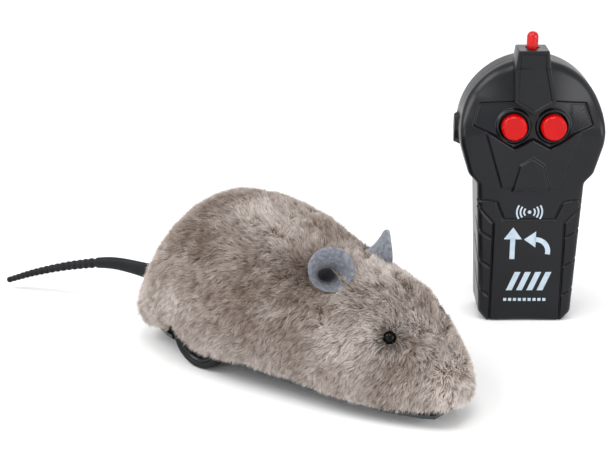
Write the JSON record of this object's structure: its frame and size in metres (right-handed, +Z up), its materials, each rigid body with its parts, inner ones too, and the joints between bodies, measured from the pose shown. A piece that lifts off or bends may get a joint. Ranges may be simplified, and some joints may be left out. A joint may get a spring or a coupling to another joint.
{
  "type": "robotic mouse cat toy",
  "caption": "Fur-covered toy mouse with felt ears, a beaded tail, driven rear wheels and a swivelling front wheel, with the hand-held two-button control that drives it.",
  "frame": {"origin": "on the floor under the middle of the whole set, mouse and control together", "axes": "+X the way the mouse heads, +Y to the mouse's left, +Z up"},
  "size_m": [0.2413, 0.1756, 0.1317],
  "materials": {
    "fur": "long soft pile",
    "felt": "soft felt",
    "bead": "polished",
    "tail_rubber": "satin",
    "tyre": "matte",
    "black_plastic": "satin",
    "wheel_plastic": "glossy",
    "control_plastic": "satin",
    "nylon": "matte",
    "steel": "bright",
    "brass": "bright",
    "cell_wrap": "glossy sleeve",
    "board": "lacquered",
    "red_button": "glossy",
    "lamp": "clear tinted",
    "red_wire": "satin"
  },
  "bodies": {
    "toy_set": {"fur_cover": "fur", "ear_left": "felt", "ear_right": "felt", "eye_left": "bead", "eye_right": "bead", "tail": "tail_rubber", "upper_hull": "black_plastic", "chassis_base": "black_plastic", "power_switch_body": "black_plastic", "motor_lead_black": "black_plastic", "push_switch_left": "black_plastic", "push_switch_right": "black_plastic", "control_front_shell": "control_plastic", "control_rear_shell": "control_plastic", "gearbox_plate_outer": "nylon", "gearbox_plate_inner": "nylon", "motor_end_cap": "nylon", "aerial_wire": "nylon", "idler_pin": "steel", "drive_motor": "steel", "chassis_screw_1": "steel", "chassis_screw_2": "steel", "chassis_screw_3": "steel", "chassis_screw_4": "steel", "control_screw_1": "steel", "control_screw_2": "steel", "control_screw_3": "steel", "control_screw_4": "steel", "axle_bush_left": "brass", "axle_bush_right": "brass", "battery_contact_rear": "brass", "battery_contact_front": "brass", "control_contact_low": "brass", "control_contact_high": "brass", "battery_cell_1": "cell_wrap", "battery_cell_2": "cell_wrap", "battery_cell_3": "cell_wrap", "control_cell_left": "cell_wrap", "control_cell_right": "cell_wrap", "receiver_board": "board", "control_board": "board", "signal_lamp": "lamp", "motor_lead_red": "red_wire"},
    "axle_set": {"rear_axle": "steel", "axle_gear": "nylon", "wheel_left": "wheel_plastic", "wheel_right": "wheel_plastic", "tyre_left": "tyre", "tyre_right": "tyre"},
    "idler": {"idler_gear": "nylon"},
    "pinion": {"motor_pinion": "brass"},
    "caster": {"caster_fork": "nylon", "caster_pin": "steel"},
    "caster_roller": {"caster_wheel": "nylon"},
    "belly_hatch": {"battery_door": "black_plastic", "battery_door_screw": "steel"},
    "switch_knob": {"power_switch_knob": "nylon"},
    "left_button": {"button_left": "red_button"},
    "right_button": {"button_right": "red_button"},
    "control_door": {"control_battery_door": "control_plastic"}
  },
  "joints": [
    {"name": "axle_spin", "type": "hinge", "parent": "toy_set", "child": "axle_set", "pos_m": [0.0053, -0.0519, 0.014], "axis": [0, 1, 0], "continuous": true},
    {"name": "idler_spin", "type": "hinge", "parent": "toy_set", "child": "idler", "pos_m": [0.01044, -0.0519, 0.02013], "axis": [0, 1, 0], "continuous": true},
    {"name": "pinion_spin", "type": "hinge", "parent": "toy_set", "child": "pinion", "pos_m": [0.01844, -0.0519, 0.02013], "axis": [0, 1, 0], "continuous": true},
    {"name": "caster_swivel", "type": "hinge", "parent": "toy_set", "child": "caster", "pos_m": [0.0983, -0.0519, 0.0099], "axis": [0, 0, 1], "continuous": true},
    {"name": "caster_roll", "type": "hinge", "parent": "caster", "child": "caster_roller", "pos_m": [0.0953, -0.0519, 0.0045], "axis": [0, 1, 0], "continuous": true},
    {"name": "belly_hatch_hinge", "type": "hinge", "parent": "toy_set", "child": "belly_hatch", "pos_m": [0.078, -0.0519, 0.0066], "axis": [0, -1, 0], "range_deg": [0, 20]},
    {"name": "switch_slide", "type": "slide", "parent": "toy_set", "child": "switch_knob", "axis": [0, 1, 0], "range_m": [0, 0.002]},
    {"name": "left_button_press", "type": "slide", "parent": "toy_set", "child": "left_button", "axis": [-0.6455, 0.7638, 0], "range_m": [0, 0.0015], "stiffness_N_per_m": 200, "springref_m": -0.0005},
    {"name": "right_button_press", "type": "slide", "parent": "toy_set", "child": "right_button", "axis": [-0.6455, 0.7638, 0], "range_m": [0, 0.0015], "stiffness_N_per_m": 200, "springref_m": -0.0005},
    {"name": "control_door_slide", "type": "slide", "parent": "toy_set", "child": "control_door", "axis": [0, 0, -1], "range_m": [0, 0.005]}
  ],
  "couplings": [
    {"joint": "idler_spin", "follows": "axle_spin", "ratio": -3},
    {"joint": "pinion_spin", "follows": "axle_spin", "ratio": 9}
  ]
}
